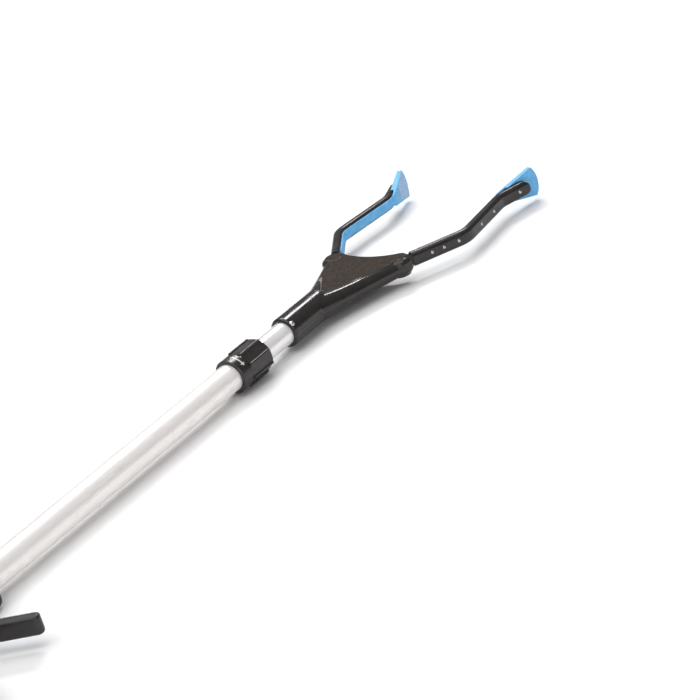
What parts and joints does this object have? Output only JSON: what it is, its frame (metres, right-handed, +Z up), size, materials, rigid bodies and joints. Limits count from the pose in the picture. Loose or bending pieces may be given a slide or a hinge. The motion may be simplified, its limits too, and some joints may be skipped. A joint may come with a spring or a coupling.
{
  "type": "reacher grabber",
  "caption": "Long-reach pick-up tool: a pistol handle with a trigger, a telescoping pole with a twist lock, and a Y-shaped head with two cranked, padded jaws.",
  "frame": {"origin": "middle of the base, lying on its side: the centre of the footprint on the surface that it rests on", "axes": "+X along the pole towards the jaws, +Z up out of the surface, +Y towards the left jaw; the handle's grip points to -Y"},
  "size_m": [0.8878, 0.2022, 0.037],
  "materials": {
    "pole_metal": "satin",
    "inner_pole_metal": "satin",
    "lock_plastic": "moulded, finely textured",
    "head_plastic": "moulded, glossy flanks and stippled panels",
    "arm_plastic": "moulded, semi-gloss",
    "handle_plastic": "moulded, finely textured",
    "grip_rubber": "soft, moulded ribs",
    "liner_rubber": "soft, finely pebbled",
    "steel": "bright",
    "inner_plastic": "natural acetal"
  },
  "bodies": {
    "handle": {"outer_tube": "pole_metal", "lock_base": "lock_plastic", "guide_key": "inner_plastic", "split_collet": "inner_plastic", "handle_shell_right": "handle_plastic", "handle_shell_left": "handle_plastic", "handle_screws": "steel", "palm_pad": "grip_rubber", "trigger_pin": "steel"},
    "twist_collar": {"twist_nut": "lock_plastic"},
    "telescope": {"inner_tube": "inner_pole_metal", "tube_end_bush": "inner_plastic", "head_shell_upper": "head_plastic", "head_shell_lower": "head_plastic", "head_rivets": "steel", "head_screws": "steel", "rod_guide": "inner_plastic", "pivot_pin_left": "steel", "pivot_pin_right": "steel", "return_spring": "steel"},
    "jaw_left": {"jaw_arm_left": "arm_plastic", "jaw_liner_left": "liner_rubber", "liner_studs_left": "steel"},
    "jaw_right": {"jaw_arm_right": "arm_plastic", "jaw_liner_right": "liner_rubber", "liner_studs_right": "steel"},
    "front_rod": {"pull_rod": "steel", "crosshead": "inner_plastic", "crosshead_pins": "steel"},
    "rear_rod": {"pull_tube": "steel", "clutch_housing": "inner_plastic", "clutch_plate": "steel", "clutch_spring": "steel", "rod_clevis": "inner_plastic"},
    "trigger_lever": {"trigger": "handle_plastic", "trigger_pad": "grip_rubber", "clevis_pin": "steel"}
  },
  "joints": [
    {"name": "trigger_pivot", "type": "hinge", "parent": "handle", "child": "trigger_lever", "pos_m": [-0.36485, 0.02923, 0.0185], "axis": [0, 0, -1], "range_deg": [0, 25], "stiffness_Nm_per_rad": 0.6, "springref_deg": -20.05},
    {"name": "jaw_left_pivot", "type": "hinge", "parent": "telescope", "child": "jaw_left", "pos_m": [0.26315, 0.05619, 0.0185], "axis": [0, 0, -1], "range_deg": [0, 23.4]},
    {"name": "jaw_right_pivot", "type": "hinge", "parent": "telescope", "child": "jaw_right", "pos_m": [0.26315, -0.01781, 0.0185], "axis": [0, 0, 1], "range_deg": [0, 23.4]},
    {"name": "front_rod_slide", "type": "slide", "parent": "telescope", "child": "front_rod", "axis": [-1, 0, 0], "range_m": [0, 0.0045], "deforming": ["return_spring"]},
    {"name": "rear_rod_slide", "type": "slide", "parent": "handle", "child": "rear_rod", "axis": [-1, 0, 0], "range_m": [0, 0.0045]},
    {"name": "twist_nut_turn", "type": "hinge", "parent": "handle", "child": "twist_collar", "pos_m": [0.07315, 0.01919, 0.0185], "axis": [1, 0, 0], "range_deg": [0, 75]},
    {"name": "telescope_slide", "type": "slide", "parent": "handle", "child": "telescope", "axis": [1, 0, 0], "range_m": [-0.02, 0.3]}
  ],
  "couplings": [
    {"joint": "jaw_left_pivot", "follows": "trigger_pivot", "ratio": 0.9352},
    {"joint": "jaw_right_pivot", "follows": "trigger_pivot", "ratio": 0.9352},
    {"joint": "front_rod_slide", "follows": "trigger_pivot", "m_per_rad": 0.010073},
    {"joint": "rear_rod_slide", "follows": "trigger_pivot", "m_per_rad": 0.010073}
  ]
}
